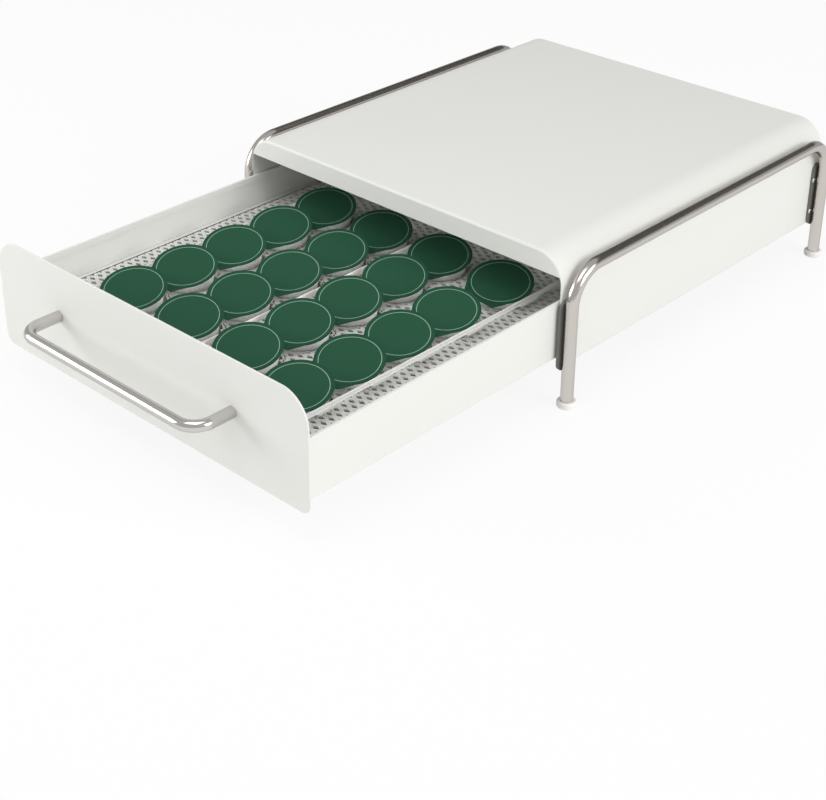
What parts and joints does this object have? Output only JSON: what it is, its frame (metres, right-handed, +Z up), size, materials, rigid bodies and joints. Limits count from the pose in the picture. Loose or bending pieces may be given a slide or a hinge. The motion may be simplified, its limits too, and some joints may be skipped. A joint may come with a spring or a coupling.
{
  "type": "coffee pod drawer",
  "caption": "Low white steel cabinet on tubular side frames, with a pull-out drawer on slides that holds leaning coffee pods in a mesh floor and a flat top for a coffee machine.",
  "frame": {"origin": "on the surface the feet stand on, in the middle of the part's width and of its length with the drawer open as stored", "axes": "+Z up, the drawer opens towards -Y, +X to the right seen from the front"},
  "size_m": [0.359, 0.6472, 0.121],
  "materials": {
    "white_paint": "smooth satin powder coat",
    "frame_steel": "brushed along the tube",
    "handle_steel": "brushed along the rod",
    "plate_dark": "matt dark coat",
    "foot_plastic": "moulded, slightly glossy",
    "glide_plastic": "plain",
    "fastener_steel": "bright zinc",
    "mesh_steel": "light grey coat on expanded metal",
    "rail_plastic": "frosted white",
    "pod_plastic": "white ribbed moulding",
    "pod_foil": "dark green printed foil"
  },
  "bodies": {
    "cabinet": {"cover": "white_paint", "back_panel": "white_paint", "runner_left": "white_paint", "runner_right": "white_paint", "guide_left": "white_paint", "guide_right": "white_paint", "glide_left": "glide_plastic", "glide_right": "glide_plastic", "side_frame_left": "frame_steel", "side_frame_right": "frame_steel", "frame_plate_front_left": "plate_dark", "frame_plate_front_right": "plate_dark", "frame_plate_rear_left": "plate_dark", "frame_plate_rear_right": "plate_dark", "foot_front_left": "foot_plastic", "foot_front_right": "foot_plastic", "foot_rear_left": "foot_plastic", "foot_rear_right": "foot_plastic", "frame_screws_left": "fastener_steel", "frame_screws_right": "fastener_steel"},
    "drawer": {"drawer_box": "white_paint", "mesh_floor": "mesh_steel", "front_panel": "white_paint", "front_panel_rivets": "fastener_steel", "handle": "handle_steel", "handle_screws": "fastener_steel", "rail_left": "rail_plastic", "rail_middle": "rail_plastic", "rail_right": "rail_plastic", "rail_rivets": "fastener_steel", "mesh_supports": "mesh_steel", "pod_cup_1_1": "pod_plastic", "pod_cup_1_2": "pod_plastic", "pod_cup_1_3": "pod_plastic", "pod_cup_1_4": "pod_plastic", "pod_cup_2_1": "pod_plastic", "pod_cup_2_2": "pod_plastic", "pod_cup_2_3": "pod_plastic", "pod_cup_2_4": "pod_plastic", "pod_cup_3_1": "pod_plastic", "pod_cup_3_2": "pod_plastic", "pod_cup_3_3": "pod_plastic", "pod_cup_3_4": "pod_plastic", "pod_cup_4_1": "pod_plastic", "pod_cup_4_2": "pod_plastic", "pod_cup_4_3": "pod_plastic", "pod_cup_4_4": "pod_plastic", "pod_cup_5_1": "pod_plastic", "pod_cup_5_2": "pod_plastic", "pod_cup_5_3": "pod_plastic", "pod_cup_5_4": "pod_plastic", "pod_lids_row_1": "pod_foil", "pod_lids_row_2": "pod_foil", "pod_lids_row_3": "pod_foil", "pod_lids_row_4": "pod_foil", "pod_lids_row_5": "pod_foil"}
  },
  "joints": [
    {"name": "drawer_slide", "type": "slide", "parent": "cabinet", "child": "drawer", "axis": [0, -1, 0], "range_m": [-0.2484, 0.0235]}
  ]
}
